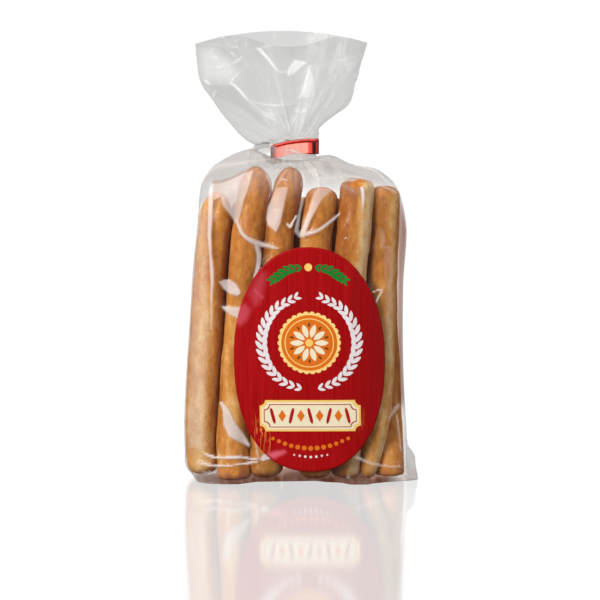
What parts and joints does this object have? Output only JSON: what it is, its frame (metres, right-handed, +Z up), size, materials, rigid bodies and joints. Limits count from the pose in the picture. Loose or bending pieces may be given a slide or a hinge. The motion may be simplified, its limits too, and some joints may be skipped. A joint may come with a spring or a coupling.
{
  "type": "bag of grissini breadsticks",
  "caption": "Clear film bag of golden breadsticks standing upright, gathered and tied near the top with a flared open end and an oval front label.",
  "frame": {"origin": "on the flat base, under the middle of the bag's bounding box", "axes": "+Z up from the flat base to the flared open end, -Y towards the viewer on the labelled front, +X to the right of the front"},
  "size_m": [0.1299, 0.055, 0.2454],
  "materials": {
    "clear_film": "clear, glossy, lightly creased",
    "bread_crust": "matte golden brown crust",
    "label_paper": "satin printed paper",
    "tie_foil": "red metallic foil"
  },
  "bodies": {
    "root": {"bag": "clear_film", "label": "label_paper", "tie": "tie_foil"}
  },
  "joints": []
}
